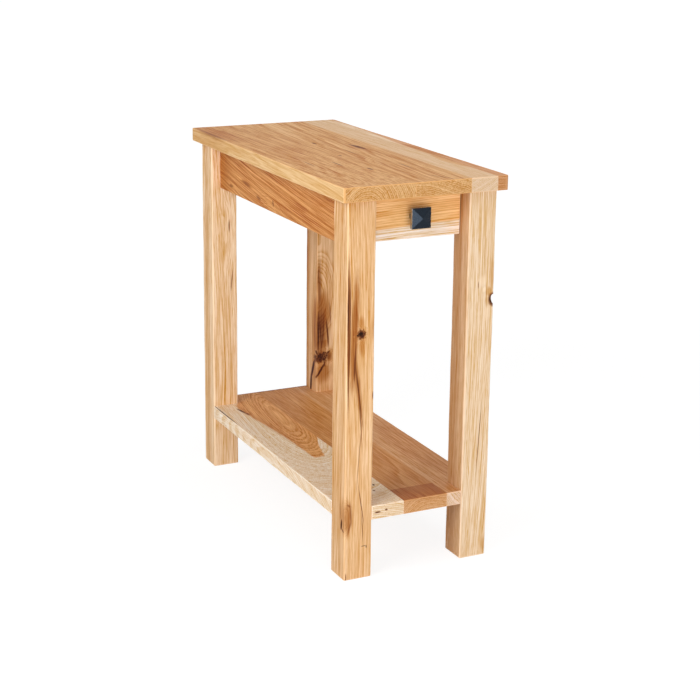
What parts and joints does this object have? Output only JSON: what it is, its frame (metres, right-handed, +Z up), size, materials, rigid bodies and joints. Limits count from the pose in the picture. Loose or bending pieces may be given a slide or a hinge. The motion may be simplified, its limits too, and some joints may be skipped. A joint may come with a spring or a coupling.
{
  "type": "chairside table",
  "caption": "Narrow rustic hickory chairside table with square legs, a low shelf and a drawer with a square pyramid knob on ball-bearing slides.",
  "frame": {"origin": "on the floor, under the middle of the table top", "axes": "+Z up; -Y towards the front, which is the drawer's face; +X to the right seen from the front"},
  "size_m": [0.273, 0.6096, 0.6096],
  "materials": {
    "top_heartwood": "clear satin lacquer over brown hickory heartwood",
    "top_sapwood": "clear satin lacquer over pale hickory sapwood",
    "top_edge_heartwood": "clear satin lacquer over reddish hickory heartwood",
    "leg_hickory": "clear satin lacquer over knotty hickory",
    "apron_hickory": "clear satin lacquer over brown hickory heartwood",
    "shelf_sapwood": "clear satin lacquer over pale hickory sapwood",
    "shelf_heartwood": "clear satin lacquer over brown hickory heartwood",
    "drawer_front_hickory": "clear satin lacquer, heartwood above sapwood",
    "drawer_box_wood": "clear finished pale hardwood",
    "drawer_bottom_plywood": "clear finished plywood",
    "hidden_hardwood": "bare hardwood",
    "slide_steel": "zinc plated pressed steel",
    "cage_steel": "zinc plated pressed steel",
    "ball_steel": "polished steel balls",
    "screw_steel": "zinc plated steel",
    "knob_iron": "oil rubbed dark bronze"
  },
  "bodies": {
    "carcase": {"top_board_left": "top_heartwood", "top_board_centre": "top_heartwood", "top_board_sapwood": "top_sapwood", "top_board_right": "top_edge_heartwood", "leg_front_left": "leg_hickory", "leg_front_right": "leg_hickory", "leg_back_left": "leg_hickory", "leg_back_right": "leg_hickory", "side_apron_left": "apron_hickory", "side_apron_right": "apron_hickory", "back_apron": "apron_hickory", "shelf_board_left": "shelf_sapwood", "shelf_board_middle": "shelf_heartwood", "shelf_board_right": "shelf_heartwood", "front_cross_rail": "hidden_hardwood", "top_buttons": "hidden_hardwood", "slide_packing_strip_left": "hidden_hardwood", "slide_packing_strip_right": "hidden_hardwood", "shelf_dowels": "hidden_hardwood", "slide_cabinet_member_left": "slide_steel", "packing_strip_screws_left": "screw_steel", "cabinet_member_screws_left": "screw_steel", "slide_cabinet_member_right": "slide_steel", "packing_strip_screws_right": "screw_steel", "cabinet_member_screws_right": "screw_steel", "cross_rail_screws": "screw_steel", "top_button_screws": "screw_steel"},
    "drawer": {"drawer_front": "drawer_front_hickory", "drawer_box_front": "drawer_box_wood", "drawer_box_back": "drawer_box_wood", "drawer_side_left": "drawer_box_wood", "drawer_side_right": "drawer_box_wood", "drawer_bottom": "drawer_bottom_plywood", "drawer_front_screws": "screw_steel", "knob": "knob_iron", "knob_screw": "screw_steel", "slide_drawer_member_left": "slide_steel", "slide_drawer_member_right": "slide_steel", "drawer_member_screws_left": "screw_steel", "drawer_member_screws_right": "screw_steel"},
    "outer_ball_cage_left": {"slide_outer_cage_left": "cage_steel", "slide_outer_balls_left": "ball_steel"},
    "middle_member_left": {"slide_middle_member_left": "slide_steel"},
    "inner_ball_cage_left": {"slide_inner_cage_left": "cage_steel", "slide_inner_balls_left": "ball_steel"},
    "outer_ball_cage_right": {"slide_outer_cage_right": "cage_steel", "slide_outer_balls_right": "ball_steel"},
    "middle_member_right": {"slide_middle_member_right": "slide_steel"},
    "inner_ball_cage_right": {"slide_inner_cage_right": "cage_steel", "slide_inner_balls_right": "ball_steel"}
  },
  "joints": [
    {"name": "drawer_slide", "type": "slide", "parent": "carcase", "child": "drawer", "axis": [0, -1, 0], "range_m": [0, 0.45]},
    {"name": "outer_cage_travel_left", "type": "slide", "parent": "carcase", "child": "outer_ball_cage_left", "axis": [0, -1, 0], "range_m": [0, 0.1125]},
    {"name": "middle_member_travel_left", "type": "slide", "parent": "carcase", "child": "middle_member_left", "axis": [0, -1, 0], "range_m": [0, 0.225]},
    {"name": "inner_cage_travel_left", "type": "slide", "parent": "carcase", "child": "inner_ball_cage_left", "axis": [0, -1, 0], "range_m": [0, 0.3375]},
    {"name": "outer_cage_travel_right", "type": "slide", "parent": "carcase", "child": "outer_ball_cage_right", "axis": [0, -1, 0], "range_m": [0, 0.1125]},
    {"name": "middle_member_travel_right", "type": "slide", "parent": "carcase", "child": "middle_member_right", "axis": [0, -1, 0], "range_m": [0, 0.225]},
    {"name": "inner_cage_travel_right", "type": "slide", "parent": "carcase", "child": "inner_ball_cage_right", "axis": [0, -1, 0], "range_m": [0, 0.3375]}
  ],
  "couplings": [
    {"joint": "outer_cage_travel_left", "follows": "drawer_slide", "ratio": 0.25},
    {"joint": "middle_member_travel_left", "follows": "drawer_slide", "ratio": 0.5},
    {"joint": "inner_cage_travel_left", "follows": "drawer_slide", "ratio": 0.75},
    {"joint": "outer_cage_travel_right", "follows": "drawer_slide", "ratio": 0.25},
    {"joint": "middle_member_travel_right", "follows": "drawer_slide", "ratio": 0.5},
    {"joint": "inner_cage_travel_right", "follows": "drawer_slide", "ratio": 0.75}
  ]
}
